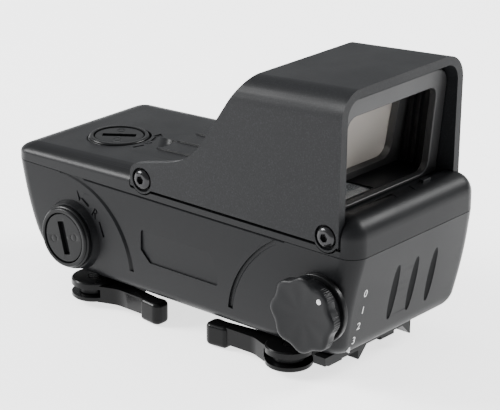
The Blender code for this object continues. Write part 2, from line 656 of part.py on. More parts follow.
def main():
    polymer = material("polymer", (0.028, 0.029, 0.031), 0.5)
    anodised = material("anodised", (0.036, 0.038, 0.042), 0.42, 0.6)
    matte = material("matte_black", (0.012, 0.012, 0.013), 0.7)
    steel = material("black_steel", (0.03, 0.03, 0.03), 0.3, 1.0)
    bright = material("plated_steel", (0.6, 0.6, 0.6), 0.3, 1.0)
    rubber = material("rubber", (0.01, 0.01, 0.01), 0.8)
    glass = material("coated_glass", (0.6, 0.52, 0.45), 0.05, 0.0, 0.4)
    white = material("white_paint", (0.85, 0.85, 0.85), 0.5)
    board = material("board_green", (0.02, 0.12, 0.05), 0.5)
    acetal = material("acetal", (0.02, 0.02, 0.02), 0.45)
    satin = material("satin_black_steel", (0.04, 0.042, 0.046), 0.4, 0.8)
    cell = material("cell_wrap", (0.5, 0.42, 0.2), 0.35)

    make_lower_housing(polymer)
    make_gasket(rubber)
    make_top_cover(polymer)
    make_hood(anodised)
    make_hood_screws(steel)
    make_bezel(matte)
    make_tunnel(matte)
    make_lens(matte, glass)
    box("emitter_window", (-12.0, -44.0, 38.0), (0.0, -36.0, 39.5), glass)
    looks = (anodised, satin, rubber)
    make_turret("elevation", ELEVATION_AT, (0, 0, 1), 13.7, math.radians(-54), looks)
    make_turret("windage", WINDAGE_AT, (-1, 0, 0), 25.0, math.radians(105), looks)
    make_stages(acetal, bright)
    box("circuit_board", (-21.0, -34.0, 6.5), (2.2, 26.0, 8.1), board)
    make_knob(polymer, steel, rubber, white, matte)
    make_battery(bright, anodised, rubber, cell)
    make_mount_base(anodised)
    make_mount_screws(steel)
    for name, y, toward in (("front", BAR_Y, -1), ("rear", -BAR_Y, 1)):
        make_clamp_bar(name, y, anodised)
        make_lever(name, y, toward, anodised, steel)


main()
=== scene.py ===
import bmesh
import bpy
import json
import math
from mathutils import Matrix, Vector
from mathutils.kdtree import KDTree

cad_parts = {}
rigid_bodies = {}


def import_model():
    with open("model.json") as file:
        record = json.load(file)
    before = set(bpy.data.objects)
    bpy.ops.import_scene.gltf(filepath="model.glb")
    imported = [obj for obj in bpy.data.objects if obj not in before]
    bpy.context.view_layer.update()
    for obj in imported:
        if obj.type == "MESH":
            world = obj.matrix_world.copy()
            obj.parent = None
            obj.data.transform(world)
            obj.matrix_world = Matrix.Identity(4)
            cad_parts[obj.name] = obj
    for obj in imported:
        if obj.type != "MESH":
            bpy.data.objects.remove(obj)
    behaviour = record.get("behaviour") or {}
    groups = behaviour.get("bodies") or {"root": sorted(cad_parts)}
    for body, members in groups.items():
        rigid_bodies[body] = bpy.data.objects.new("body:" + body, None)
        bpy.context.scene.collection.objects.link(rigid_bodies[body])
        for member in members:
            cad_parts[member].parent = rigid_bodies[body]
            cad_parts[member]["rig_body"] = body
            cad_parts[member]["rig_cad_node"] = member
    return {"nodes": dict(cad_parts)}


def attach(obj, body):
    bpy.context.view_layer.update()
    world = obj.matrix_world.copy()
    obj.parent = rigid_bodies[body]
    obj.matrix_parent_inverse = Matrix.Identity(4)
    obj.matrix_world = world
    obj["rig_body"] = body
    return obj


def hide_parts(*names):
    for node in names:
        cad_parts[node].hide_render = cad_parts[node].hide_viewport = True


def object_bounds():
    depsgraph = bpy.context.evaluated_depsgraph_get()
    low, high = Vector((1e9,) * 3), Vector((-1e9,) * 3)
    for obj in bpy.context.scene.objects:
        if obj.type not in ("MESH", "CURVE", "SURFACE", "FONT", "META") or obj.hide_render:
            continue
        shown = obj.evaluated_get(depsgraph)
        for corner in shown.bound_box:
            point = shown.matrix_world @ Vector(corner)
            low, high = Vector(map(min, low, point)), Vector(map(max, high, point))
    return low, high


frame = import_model()
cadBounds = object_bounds()
mm = 0.001
print("frame loaded:", len(frame["nodes"]), "nodes")


# small tools

def deselectAll():
    if bpy.context.object and bpy.context.object.mode != "OBJECT":
        bpy.ops.object.mode_set(mode="OBJECT")
    bpy.ops.object.select_all(action="DESELECT")


def makeActive(piece):
    deselectAll()
    bpy.context.view_layer.objects.active = piece
    piece.select_set(True)


def freeze():
    bpy.ops.object.transform_apply(location=True, rotation=True, scale=True)


def faceOut(merge=0.004):
    # doubles merged and normals outwards, then back to object mode
    bpy.ops.mesh.select_all(action="SELECT")
    bpy.ops.mesh.remove_doubles(threshold=merge * mm)
    bpy.ops.mesh.normals_make_consistent(inside=False)
    bpy.ops.object.mode_set(mode="OBJECT")


def pullOutline(name, points):
    # one vertex is pulled round the outline, which is then closed and filled
    deselectAll()
    points = [Vector(point) * mm for point in points]
    bpy.ops.mesh.primitive_plane_add(size=mm, location=points[0])
    piece = bpy.context.object
    piece.name = name
    freeze()
    bpy.ops.object.mode_set(mode="EDIT")
    bpy.ops.mesh.select_all(action="SELECT")
    bpy.ops.mesh.merge(type="CENTER")
    for here, there in zip(points, points[1:]):
        bpy.ops.mesh.extrude_vertices_move(TRANSFORM_OT_translate={"value": there - here})
    return piece


def prism(name, points, depth):
    # a flat outline given its thickness along a vector
    piece = pullOutline(name, points)
    bpy.ops.mesh.select_all(action="SELECT")
    bpy.ops.mesh.edge_face_add()
    bpy.ops.mesh.extrude_region_move(TRANSFORM_OT_translate={"value": Vector(depth) * mm})
    faceOut()
    return piece


def block(name, low, high):
    deselectAll()
    low, high = Vector(low) * mm, Vector(high) * mm
    bpy.ops.mesh.primitive_cube_add(size=1, location=(low + high) / 2)
    piece = bpy.context.object
    piece.name = name
    piece.scale = high - low
    freeze()
    return piece


def turn(name, profile, at, along, steps=96, closed=True):
    # a profile of (radius, height) drawn beside the axis and spun round it
    piece = pullOutline(name, [(r, 0, h) for r, h in profile])
    if closed:
        ends = [Vector((profile[0][0], 0, profile[0][1])), Vector((profile[-1][0], 0, profile[-1][1]))]
        mesh = bmesh.from_edit_mesh(piece.data)
        for vert in mesh.verts:
            vert.select_set(any((vert.co / mm - end).length < 0.0005 for end in ends))
        mesh.select_flush_mode()
        bmesh.update_edit_mesh(piece.data)
        bpy.ops.mesh.edge_face_add()
    bpy.ops.mesh.select_all(action="SELECT")
    bpy.ops.mesh.spin(steps=steps, angle=math.tau, center=(0, 0, 0), axis=(0, 0, 1))
    faceOut()
    piece.matrix_world = Matrix.Translation(Vector(at) * mm) @ \
        Vector(along).to_track_quat("Z", "Y").to_matrix().to_4x4()
    makeActive(piece)
    freeze()
    return piece


def stack(name, rings):
    # a filled ring is extruded to the next ring over and over, each point to its own place
    deselectAll()
    count = len(rings[0])
    bpy.ops.mesh.primitive_circle_add(vertices=count, radius=mm, fill_type="NGON")
    piece = bpy.context.object
    piece.name = name
    bpy.ops.object.mode_set(mode="EDIT")
    bpy.ops.mesh.select_all(action="SELECT")
    mesh = bmesh.from_edit_mesh(piece.data)
    mesh.verts.ensure_lookup_table()
    for vert, point in zip(mesh.verts, rings[0]):
        vert.co = Vector(point) * mm
    bmesh.update_edit_mesh(piece.data)
    for ring, after in zip(rings, rings[1:]):
        step = (sum((Vector(p) for p in after), Vector()) - sum((Vector(p) for p in ring), Vector())) / count
        bpy.ops.mesh.extrude_region_move(TRANSFORM_OT_translate={"value": step * mm})
        finder = KDTree(count)
        for index, point in enumerate(ring):
            finder.insert((Vector(point) + step) * mm, index)
        finder.balance()
        mesh = bmesh.from_edit_mesh(piece.data)
        for vert in [v for v in mesh.verts if v.select]:
            vert.co = Vector(after[finder.find(vert.co)[1]]) * mm
        bmesh.update_edit_mesh(piece.data)
    bpy.ops.mesh.select_all(action="SELECT")
    bpy.ops.mesh.normals_make_consistent(inside=False)
    bpy.ops.object.mode_set(mode="OBJECT")
    return piece


def carve(piece, tool, operation="DIFFERENCE"):
    makeActive(piece)
    step = piece.modifiers.new("carve", "BOOLEAN")
    step.object = tool
    step.operation = operation
    step.solver = "EXACT"
    bpy.ops.object.modifier_apply(modifier=step.name)
    bpy.data.objects.remove(tool)


def soften(piece, width, segments=2, angle=35):
    # small round edges, which catch the light
    makeActive(piece)
    step = piece.modifiers.new("soften", "BEVEL")
    step.width = width * mm
    step.segments = segments
    step.limit_method = "ANGLE"
    step.angle_limit = math.radians(angle)
    step.miter_outer = "MITER_ARC"
    bpy.ops.object.modifier_apply(modifier=step.name)


def smooth(piece, angle=32):
    makeActive(piece)
    bpy.ops.object.shade_smooth_by_angle(angle=math.radians(angle))
    step = piece.modifiers.new("even", "WEIGHTED_NORMAL")
    step.keep_sharp = True
    bpy.ops.object.modifier_apply(modifier=step.name)


def paint(piece, material):
    piece.data.materials.clear()
    piece.data.materials.append(material)


def settle(piece, body, material, slot, *nodes):
    # the finished piece gets its material and its place on the sight
    paint(piece, material)
    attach(piece, body)
    if nodes:
        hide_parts(*nodes)
    return piece


def tidyCopy(node, width, segments=2, angle=30):
    # the frame's own shape with its triangles joined to faces and its edges rounded
    source = frame["nodes"][node]
    piece = source.copy()
    piece.data = source.data.copy()
    piece.parent = None
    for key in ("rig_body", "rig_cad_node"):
        if key in piece:
            del piece[key]
    piece.name = node + "_fine"
    bpy.context.scene.collection.objects.link(piece)
    makeActive(piece)
    bpy.ops.object.mode_set(mode="EDIT")
    bpy.ops.mesh.select_all(action="SELECT")
    bpy.ops.mesh.remove_doubles(threshold=0.002 * mm)
    bpy.ops.mesh.dissolve_limited(angle_limit=math.radians(1.0))
    bpy.ops.mesh.normals_make_consistent(inside=False)
    bpy.ops.object.mode_set(mode="OBJECT")
    if width:
        soften(piece, width, segments, angle)
    smooth(piece)
    return piece


# outlines

def arc(centre, radius, start, end, steps):
    angles = [math.radians(start + (end - start) * k / steps) for k in range(steps + 1)]
    return [(centre[0] + radius * math.cos(a), centre[1] + radius * math.sin(a)) for a in angles]


def rounded(corners, steps=8):
    # corners are (a, b, radius)
    points = []
    for index, (a, b, radius) in enumerate(corners):
        if radius == 0:
            points.append((a, b))
            continue
        here = Vector((a, b))
        before = (Vector(corners[index - 1][:2]) - here).normalized()
        after = (Vector(corners[(index + 1) % len(corners)][:2]) - here).normalized()
        half = before.angle(after) / 2
        centre = here + (before + after).normalized() * (radius / math.sin(half))
        start = here + before * (radius / math.tan(half)) - centre
        end = here + after * (radius / math.tan(half)) - centre
        for k in range(steps + 1):
            spoke = Matrix.Rotation(-start.angle_signed(end) * k / steps, 2) @ start
            points.append((centre.x + spoke.x, centre.y + spoke.y))
    return points


def boxOutline(low, high, radius, steps=8):
    return rounded([(low[0], low[1], radius), (high[0], low[1], radius),
                    (high[0], high[1], radius), (low[0], high[1], radius)], steps)


# finishes

def finish(name, look):
    # a moulded or coated surface: patchy tone, uneven gloss and a fine grain that stands up
    material = bpy.data.materials.new(name)
    material.use_nodes = True
    tree = material.node_tree
    shader = tree.nodes["Principled BSDF"]
    place = tree.nodes.new("ShaderNodeTexCoord")

    def noise(scale, detail):
        node = tree.nodes.new("ShaderNodeTexNoise")
        node.inputs["Scale"].default_value = scale
        node.inputs["Detail"].default_value = detail
        tree.links.new(place.outputs["Object"], node.inputs["Vector"])
        return node

    def spread(source, low, high, start=0.3, end=0.7):
        node = tree.nodes.new("ShaderNodeMapRange")
        node.inputs["From Min"].default_value = start
        node.inputs["From Max"].default_value = end
        node.inputs["To Min"].default_value = low
        node.inputs["To Max"].default_value = high
        tree.links.new(source, node.inputs["Value"])
        return node

    patches = noise(look["patchScale"], 3)
    grain = noise(look["grainScale"], 2)
    tone = tree.nodes.new("ShaderNodeMix")
    tone.data_type = "RGBA"
    color = Vector(look["color"])
    change = look["patchChange"]
    tone.inputs["A"].default_value = (*(color * (1 - change)), 1)
    tone.inputs["B"].default_value = (*(color * (1 + change)), 1)
    tree.links.new(spread(patches.outputs["Fac"], 0, 1).outputs["Result"], tone.inputs["Factor"])
    result = tone.outputs["Result"]
    if look.get("flecks"):
        # scattered brighter or darker dots of the blasted surface
        dots = spread(noise(look["fleckScale"], 1).outputs["Fac"], 0, 1, 0.52, 0.72)
        fleck = tree.nodes.new("ShaderNodeMix")
        fleck.data_type = "RGBA"
        fleck.inputs["B"].default_value = (*(color * look["flecks"]), 1)
        tree.links.new(dots.outputs["Result"], fleck.inputs["Factor"])
        tree.links.new(result, fleck.inputs["A"])
        result = fleck.outputs["Result"]
    tree.links.new(result, shader.inputs["Base Color"])
    rough, swing = look["roughness"], look["roughSwing"]
    gloss = spread(patches.outputs["Fac"], rough - swing, rough + swing)
    tree.links.new(gloss.outputs["Result"], shader.inputs["Roughness"])
    bump = tree.nodes.new("ShaderNodeBump")
    bump.inputs["Strength"].default_value = look["grainStrength"]
    bump.inputs["Distance"].default_value = look["grainHeight"] * mm
    tree.links.new(grain.outputs["Fac"], bump.inputs["Height"])
    tree.links.new(bump.outputs["Normal"], shader.inputs["Normal"])
    shader.inputs["Metallic"].default_value = look.get("metallic", 0.0)
    shader.inputs["Specular IOR Level"].default_value = look.get("specular", 0.12)
    return material


def glassFinish(name, look):
    material = finish(name, look)
    shader = material.node_tree.nodes["Principled BSDF"]
    shader.inputs["Transmission Weight"].default_value = look["transmission"]
    shader.inputs["IOR"].default_value = look["ior"]
    shader.inputs["Coat Weight"].default_value = look["coat"]
    shader.inputs["Coat Roughness"].default_value = 0.02
    return material


plain = {"patchScale": 55, "patchChange": 0.06, "roughSwing": 0.04, "grainScale": 5200,
         "grainStrength": 0.4, "grainHeight": 0.05}
moulded = finish("moulded_black", {**plain, "color": (0.0055, 0.0057, 0.0063), "roughness": 0.38,
                                   "flecks": 1.35, "fleckScale": 4200})
blasted = finish("blasted_black_aluminium", {**plain, "color": (0.0066, 0.0069, 0.0076), "roughness": 0.46,
                                             "grainScale": 2600, "grainStrength": 0.5,
                                             "flecks": 1.9, "fleckScale": 2900})
coated = finish("coated_black_aluminium", {**plain, "color": (0.0055, 0.0057, 0.006), "roughness": 0.32,
                                           "grainStrength": 0.12})
deadBlack = finish("dead_black", {**plain, "color": (0.0022, 0.0022, 0.0024), "roughness": 0.45,
                                  "grainScale": 3000})
bezelFinish = finish("bezel_black", {**plain, "color": (0.013, 0.013, 0.0135), "roughness": 0.42,
                                     "specular": 0.3})
frameFinish = finish("lens_frame_grey", {**plain, "color": (0.03, 0.03, 0.03), "roughness": 0.4,
                                         "specular": 0.4})
oxide = finish("black_oxide_steel", {**plain, "color": (0.03, 0.03, 0.031), "roughness": 0.24,
                                     "metallic": 0.85, "grainStrength": 0.06})
leverFinish = finish("lever_black", {**plain, "color": (0.003, 0.003, 0.0032), "roughness": 0.28,
                                     "grainStrength": 0.1})
nickel = finish("nickel_plate", {**plain, "color": (0.62, 0.6, 0.57), "roughness": 0.25,
                                 "metallic": 1.0, "grainStrength": 0.08})
rubberFinish = finish("black_rubber", {**plain, "color": (0.005, 0.005, 0.005), "roughness": 0.75})
whitePaint = finish("white_paint", {**plain, "color": (0.5, 0.5, 0.5), "roughness": 0.45,
                                    "patchChange": 0.02, "grainStrength": 0.1})
boardFinish = finish("green_solder_mask", {**plain, "color": (0.02, 0.12, 0.05), "roughness": 0.35,
                                           "grainScale": 900})
acetal = finish("black_acetal", {**plain, "color": (0.02, 0.02, 0.02), "roughness": 0.42})
wrapFinish = finish("printed_wrap", {**plain, "color": (0.42, 0.3, 0.09), "roughness": 0.3,
                                     "metallic": 0.5, "grainStrength": 0.05})
# the lens glass is only partly clear: its pale warm base colour gives a diffuse share that is a painted
# reflection of a bright softbox veiling the lens, on top of the slight warm tint of its coating
lensGlassTintAndPaintedReflection = glassFinish("lens_glass_tint_and_painted_reflection", {**plain, "color": (0.78, 0.735, 0.69), "roughness": 0.03,
                                              "roughSwing": 0.01, "patchChange": 0.03, "patchScale": 30,
                                              "grainStrength": 0.0, "transmission": 0.62, "ior": 1.5,
                                              "specular": 0.5, "coat": 0.6})
clearGlass = glassFinish("clear_window_glass", {**plain, "color": (0.75, 0.78, 0.8), "roughness": 0.04,
                                                "roughSwing": 0.01, "patchChange": 0.02,
                                                "grainStrength": 0.0, "transmission": 0.9, "ior": 1.5,
                                                "coat": 0.3})
print("finishes made")


# lower housing: a barrelled tub with raked ends

housing = {"rear": -58.0, "front": 62.7, "half": 25.0, "rightStep": 2.9, "barrel": 1.2, "bottom": 2.4,
           "top": 30.22, "parting": 30.3, "rearRake": 5.7, "frontRake": 0.37, "noseLength": 6.2,
           "noseHeight": 10.0,
           "bottomRound": 3.0, "cornerRound": 5.0, "wall": 3.0, "edge": 0.12}


def planRing(half, rear, front, radius, height):
    outline = boxOutline((-half, rear), (half + housing["rightStep"], front), radius, 10)
    return [(x, y, height(y)) for x, y in outline]


def housingHalf(z):
    rise = min(max((z - housing["bottom"]) / (housing["parting"] - housing["bottom"]), 0), 1)
    return housing["half"] + housing["barrel"] * math.sin(math.pi * rise)


def housingRear(z):
    rise = (z - housing["bottom"]) / (housing["parting"] - housing["bottom"])
    return housing["rear"] + housing["rearRake"] * (1 - min(max(rise, 0), 1))


def housingRing(z, inset):
    low = min(max(housing["bottomRound"] - (z - housing["bottom"]), 0), housing["bottomRound"])
    roll = housing["bottomRound"] - math.sqrt(housing["bottomRound"] ** 2 - low ** 2)
    front = housing["front"] - housing["frontRake"] * max(housing["parting"] - z, 0)
    under = min(max(housing["noseHeight"] - (z - housing["bottom"]), 0) / housing["noseHeight"], 0.995)
    front -= housing["noseLength"] * (1 - math.sqrt(1 - under ** 2))
    return planRing(housingHalf(z) - roll - inset, housingRear(z) + 0.4 * roll + inset, front - inset,
                    max(housing["cornerRound"] - inset, 1), lambda y: z)


levels = [2.4, 2.5, 2.7, 3.0, 3.5, 4.1, 4.8, 5.4, 6.6, 8.0, 9.6, 11.2, 12.4, 14.4, 16.4, 18.4, 20.4, 22.5,
          24.6, 26.6, 28.5, housing["top"]]
tub = stack("housing_tub", [housingRing(z, 0) for z in levels])
carve(tub, stack("tub_hollow", [housingRing(z, housing["wall"]) for z in (5.2, 8.5, 12, 16.4, 22, 29, 33)]))

windage = {"at": (-27.9, 38.7, 13.6), "bossRadius": 9.3, "bossBase": 10.9, "hole": 8.3}
knob = {"y": -48.3, "z": 16.4, "radius": 9.75, "wave": 0.45, "lobes": 8, "face": -34.0, "hole": 3.4}
cell = {"x": 12.5, "z": 14.2, "boss": 11.0, "capHole": 9.5, "sleeveHole": 8.8}

wx, wy, wz = windage["at"]
carve(tub, turn("windage_boss", [(0, 0), (windage["bossRadius"], 0), (windage["bossBase"], -5.3), (0, -5.3)],
                windage["at"], (-1, 0, 0), closed=False), "UNION")
carve(tub, turn("cell_boss", [(0, 11.5), (cell["boss"] - 0.8, 11.5), (cell["boss"], 10.7), (cell["boss"], 0),
                              (0, 0)], (cell["x"], 44, cell["z"]), (0, 1, 0), closed=False), "UNION")


def bore(name, radius, start, end, steps=64):
    start, end = Vector(start), Vector(end)
    length = (end - start).length
    return turn(name, [(0, length), (radius, length), (radius, 0), (0, 0)], start, end - start, steps,
                closed=False)


# two curved bands are sunk into the left side, deeper towards their feet

bands = {"width": 1.0, "depth": 0.62, "shallow": 0.34, "steps": 40}


def bandTool(name, points, inwards):
    # points run along the band's steep wall, inwards gives the way across it
    rings = []
    for index, ((y, z), (ay, az)) in enumerate(zip(points, inwards)):
        part = index / (len(points) - 1)
        depth = bands["shallow"] + (bands["depth"] - bands["shallow"]) * min(part * 1.5, 1)
        width = bands["width"]
        ring = []
        for across, sink in ((0, -2), (0.05, depth), (width, depth), (width + depth + 2, -2)):
            py, pz = y + ay * across, z + az * across
            ring.append((-housingHalf(pz) + sink, py, pz))
        rings.append(ring)
    return stack(name, rings)


frontBand = {"centre": (44.4, 8.3), "reach": (28.2, 22.9)}
rearBand = {"centre": (-49.3, 2.5), "radius": 32.4, "start": 58, "end": 9}
angles = [math.radians(90 + 90 * k / bands["steps"]) for k in range(bands["steps"] + 1)]
cy, cz = frontBand["centre"]
ry, rz = frontBand["reach"]
line = [(cy + ry * math.cos(a), cz + rz * math.sin(a)) for a in angles]
across = [Vector((-math.cos(a) * rz, -math.sin(a) * ry)).normalized() for a in angles]
carve(tub, bandTool("front_band", line, across))
angles = [math.radians(rearBand["start"] + (rearBand["end"] - rearBand["start"]) * k / bands["steps"])
          for k in range(bands["steps"] + 1)]
cy, cz = rearBand["centre"]
line = [(cy + rearBand["radius"] * math.cos(a), cz + rearBand["radius"] * math.sin(a)) for a in angles]
across = [(-math.cos(a), -math.sin(a)) for a in angles]
carve(tub, bandTool("rear_band", line, across))

# the top edge is chamfered between the bands, which makes the joint with the cover wider there
jointEdge = {"rear": -35.5, "front": 38.5, "drop": 0.75, "depth": 0.7}
for side, flank in ((-1, -housing["half"]), (1, housing["half"] + housing["rightStep"])):
    outline = [(flank + 1.5 * side, housing["parting"] - jointEdge["drop"] - 0.6),
               (flank - jointEdge["depth"] * side, housing["parting"] + 0.05),
               (flank + 1.5 * side, housing["parting"] + 1)]
    carve(tub, prism("joint_edge", [(x, jointEdge["rear"], z) for x, z in outline],
                     (0, jointEdge["front"] - jointEdge["rear"], 0)))

# a blank name panel with cut corners
panel = {"rear": -14.0, "front": 13.2, "low": 12.6, "high": 21.4, "cut": 3.2, "depth": 0.55}
outline = rounded([(panel["rear"], panel["low"], 0.6), (panel["front"] - panel["cut"], panel["low"], 0.6),
                   (panel["front"], panel["low"] + panel["cut"], 0.6), (panel["front"], panel["high"], 0.6),
                   (panel["rear"] + panel["cut"], panel["high"], 0.6),
                   (panel["rear"], panel["high"] - panel["cut"], 0.6)], 3)
panelX = -housingHalf(17) + panel["depth"]
carve(tub, prism("name_panel", [(panelX, y, z) for y, z in outline], (-4, 0, 0)))

# turning direction marks by the windage screw
mark = {"depth": 0.4}
arrow = [(37.6, 26.6), (34.7, 26.4), (35.35, 25.4), (32.5, 23.6), (32.9, 22.9), (35.8, 24.7), (36.4, 23.8)]
markX = -housingHalf(24) + mark["depth"]
carve(tub, prism("arrow_mark", [(markX, y, z) for y, z in arrow], (-3, 0, 0)))
tail = [(28.9, 19.9), (28.2, 19.7), (26.5, 15.9), (27.2, 15.6)]
carve(tub, prism("tail_mark", [(-housingHalf(18) + mark["depth"], y, z) for y, z in tail], (-3, 0, 0)))


def letter(name, text, size, place, weight=0.0):
    # a character made a mesh, with its thickness along its own Z
    deselectAll()
    bpy.ops.object.text_add()
    piece = bpy.context.object
    piece.name = name
    piece.data.body = text
    piece.data.size = size * mm
    piece.data.extrude = 0.5 * mm
    piece.data.offset = weight * mm
    piece.data.resolution_u = 4
    piece.data.align_x = "CENTER"
    piece.data.align_y = "CENTER"
    bpy.ops.object.convert(target="MESH")
    piece = bpy.context.object
    piece.matrix_world = place
    freeze()
    bpy.ops.object.mode_set(mode="EDIT")
    faceOut(0.001)
    return piece


def facing(at, right, up):
    # a matrix that puts a flat character at a point with its right and up directions
    right, up = Vector(right).normalized(), Vector(up).normalized()
    out = right.cross(up)
    turned = Matrix((right, up, out)).transposed().to_4x4()
    return Matrix.Translation(Vector(at) * mm) @ turned


carve(tub, letter("right_mark", "R", 3.6, facing((-housingHalf(21) + 0.1, 30.4, 21.6), (0, -0.86, -0.5),
                                                 (0, -0.5, 0.86)), 0.05))

# three tapered hollows in the rear face
hollows = {"at": (-4.5, 3.5, 11.7), "low": 7.4, "high": 23.4, "half": 1.45, "steps": 24}
for index, x in enumerate(hollows["at"]):
    rings = []
    middle = (hollows["low"] + hollows["high"]) / 2
    reach = (hollows["high"] - hollows["low"]) / 2
    for k in range(hollows["steps"] + 1):
        angle = math.pi * (k + 0.25) / (hollows["steps"] + 0.5)
        z = middle - reach * math.cos(angle)
        radius = max(hollows["half"] * math.sin(angle) ** 0.8, 0.06)
        rings.append([(px, py, z) for px, py in arc((x, housingRear(z) - 0.15), radius, 0, 337.5, 15)])
    carve(tub, stack(f"hollow_{index}", rings))

carve(tub, bore("windage_bore", windage["hole"], (wx - 2, wy, wz), (wx + 8, wy, wz), 96))
carve(tub, bore("cap_bore", cell["capHole"], (cell["x"], 50.5, cell["z"]), (cell["x"], 75, cell["z"]), 96))
carve(tub, bore("sleeve_bore", cell["sleeveHole"], (cell["x"], 38, cell["z"]), (cell["x"], 52, cell["z"])))
carve(tub, bore("knob_bore", knob["hole"], (-32, knob["y"], knob["z"]), (-20, knob["y"], knob["z"])))
for x in (-4, 4):
    for y in (-23, 23):
        carve(tub, bore("screw_bore", 1.8, (x, y, 1), (x, y, 5.6), 32))
soften(tub, housing["edge"], 2, 38)
smooth(tub)
settle(tub, "sight", moulded, "polymer", "lower_housing")
print("lower housing made")


# top cover: sloping deck with round edges, cut back for the hood

cover = {"foot": 30.38, "rearZ": 40.8, "slope": 0.05, "round": 6.0, "skin": 2.2, "edge": 0.15}


def deckZ(y):
    return cover["rearZ"] - cover["slope"] * (y - housing["rear"])


def coverRing(level, inset, radius):
    foot = cover["foot"]
    return planRing(housing["half"] - inset, housing["rear"] + inset, housing["front"] - inset, radius,
                    lambda y: foot + (deckZ(y) - foot) * level)


height = cover["rearZ"] - cover["foot"]
rings = [coverRing(0, 0, 5.0), coverRing(1 - cover["round"] / height, 0, 5.0)]
for k in range(1, 15):
    angle = math.radians(6 * k)
    inset = cover["round"] * (1 - math.cos(angle))
    level = 1 - cover["round"] * (1 - math.sin(angle)) / height
    rings.append(coverRing(level, inset, max(5.0 - inset, 0.6)))
lid = stack("cover_lid", rings)


def lidInner(inset, drop):
    outline = boxOutline((-20.4 + inset, -54.5 + inset), (20.4 - inset, 55.5 - inset), 2.5, 4)
    return [(x, y, deckZ(y) - drop if drop else cover["foot"] - 2) for x, y in outline]


carve(lid, stack("lid_hollow", [lidInner(0, 0), lidInner(0, cover["skin"] + 1.5),
                                lidInner(1.2, cover["skin"])]))
elevation = {"at": (-4.4, 41.5, 34.4), "seat": 9.1, "hole": 8.3}
ex, ey, ez = elevation["at"]
carve(lid, bore("turret_boss", 11.0, (ex, ey, cover["foot"] + 1), (ex, ey, ez - 0.2)), "UNION")
hoodScrews = {"front": (13.4, 35.3), "rear": (-48.8, 34.9)}
for side in (-1, 1):
    for name, (sy, sz) in hoodScrews.items():
        inner, outer = sorted((16 * side, 21.5 * side))
        carve(lid, block("screw_block", (inner, sy - 3.3, sz - 3.2),
                         (outer, sy + 3.3, min(sz + 3.3, deckZ(sy) - 1))), "UNION")
for side in (-1, 1):
    inner, outer = (-22.6, -32) if side < 0 else (22.6, 25.6)
    seat = rounded([(-53.4, 32.0, 0), (18.2, 32.0, 1.0), (18.2, 60, 0), (-53.4, 60, 0)], 4)
    carve(lid, prism("hood_seat", [(inner, y, z) for y, z in seat], (outer - inner, 0, 0)))
    for name, (sy, sz) in hoodScrews.items():
        carve(lid, bore("ear_room", 4.3, (22.6 * side, sy, sz), (32 * side, sy, sz)))
        carve(lid, bore("tap", 1.8, (12 * side, sy, sz), (32 * side, sy, sz), 32))
carve(lid, block("window_boss", (-15, -46.5, 36.5), (3, -33.5, 39.2)), "UNION")
carve(lid, block("window_seat", (-12.3, -44.3, 37.7), (0.3, -35.7, 50)))
carve(lid, block("window_light", (-11, -43, 30), (-1, -37, 50)))
carve(lid, block("bezel_slot", (-22.9, -50.6, 39.2), (22.9, -45.0, 50)))

# low ribs that run back along the deck
deckRibs = {"at": ((-6.5, 25.4), (1.6, 25.4), (9.8, 25.6)), "rear": -28.0, "half": 0.65, "rise": 0.42,
            "taper": 2.2}
for index, (x, front) in enumerate(deckRibs["at"]):
    half, rise = deckRibs["half"], deckRibs["rise"]
    rings = []
    for y, grow in ((deckRibs["rear"], 1), (front - deckRibs["taper"], 1), (front - 0.8, 0.7), (front, 0.15)):
        z = deckZ(y)
        ridge = z + rise * grow
        rings.append([(x - half * grow, y, z - 0.5), (x + half * grow, y, z - 0.5),
                      (x + 0.5 * half * grow, y, ridge), (x - 0.5 * half * grow, y, ridge)])
    carve(lid, stack(f"deck_rib_{index}", rings), "UNION")
carve(lid, bore("turret_seat", elevation["seat"], (ex, ey, ez), (ex, ey, ez + 10), 96))
carve(lid, bore("turret_bore", elevation["hole"], (ex, ey, ez - 12), (ex, ey, ez + 10), 96))

# arrow and letter beside the elevation screw
arrow = [(-2.4, 31.6), (1.6, 33.2), (1.2, 34.2), (4.4, 33.7), (2.4, 31.2), (2.0, 32.2), (-2.0, 30.6)]
carve(lid, prism("deck_arrow", [(x, y, deckZ(32) - 0.35) for x, y in arrow], (0, 0, 3)))
tail = [(-9.4, 31.7), (-6.2, 30.5), (-6.5, 29.8), (-9.7, 31.0)]
carve(lid, prism("deck_tail", [(x, y, deckZ(31) - 0.35) for x, y in tail], (0, 0, 3)))
carve(lid, letter("up_mark", "U", 3.0, facing((-4.1, 30.6, deckZ(30.6)), (1, 0, 0), (0, 1, 0)), 0.04))

# a low lug and two short seams on the shelf behind the lens
lug = {"low": (10.2, -52.6), "high": (13.4, -51.2), "rise": 0.8, "seams": ((-3.2, -1.6), (4.4, 6.0))}
shelf = deckZ(-52)
carve(lid, block("shelf_lug", (*lug["low"], shelf - 0.5), (*lug["high"], shelf + lug["rise"])), "UNION")
for start, end in lug["seams"]:
    seam = [(start, -54.6), (end, -51.0), (end + 0.35, -51.0), (start + 0.35, -54.6)]
    carve(lid, prism("shelf_seam", [(x, y, deckZ(-53) - 0.3) for x, y in seam], (0, 0, 3)))
soften(lid, cover["edge"], 2, 38)
smooth(lid)
settle(lid, "sight", moulded, "polymer", "top_cover")
print("top cover made")


# hood: a bent plate over the lens, its sides cut to a swept curve

hood = {"half": 25.3, "wall": 2.4, "round": 7.0, "top": 73.0, "slope": 0.0741, "rear": -53.1,
        "front": 17.6, "bottom": 32.9, "edge": 0.38, "screwPocket": 3.35, "pocketDepth": 1.2}
inner = hood["half"] - hood["wall"]
bend = rounded([(-hood["half"], 20, 0), (-hood["half"], hood["top"], hood["round"]),
                (hood["half"], hood["top"], hood["round"]), (hood["half"], 20, 0), (inner, 20, 0),
                (inner, hood["top"] - hood["wall"], hood["round"] - hood["wall"]),
                (-inner, hood["top"] - hood["wall"], hood["round"] - hood["wall"]), (-inner, 20, 0)], 14)


